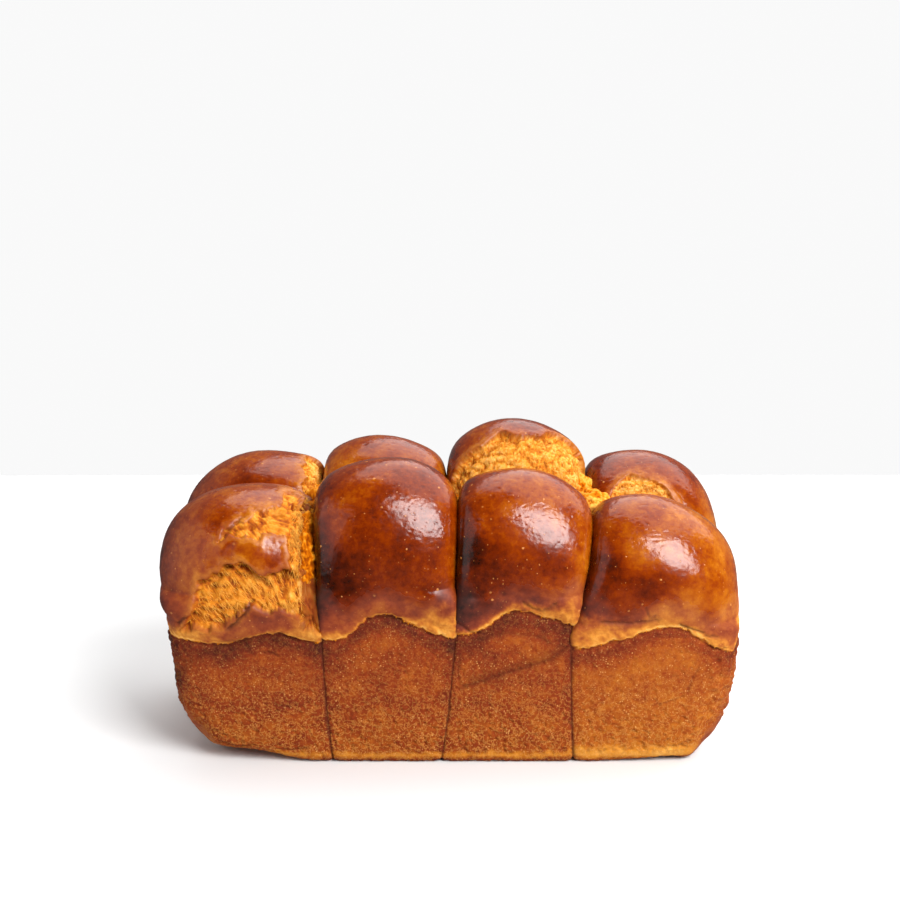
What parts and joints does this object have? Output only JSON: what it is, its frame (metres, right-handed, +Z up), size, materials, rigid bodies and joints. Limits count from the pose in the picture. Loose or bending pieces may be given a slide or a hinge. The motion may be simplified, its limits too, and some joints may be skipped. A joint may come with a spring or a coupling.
{
  "type": "brioche loaf",
  "caption": "Tin-baked brioche loaf with flat sides and a top of glossy brown domes in two rows, torn open to golden crumb where neighbours pulled apart.",
  "frame": {"origin": "centre of the loaf's bounding box, on the flat underside", "axes": "+X along the loaf towards its right end, +Y towards its back, +Z up; the side the picture shows faces -Y"},
  "size_m": [0.2596, 0.1174, 0.1414],
  "materials": {
    "crust": "egg-washed brown bread crust, glossy on the domes and matte on the sides"
  },
  "bodies": {
    "root": {"brioche_loaf": "crust"}
  },
  "joints": []
}
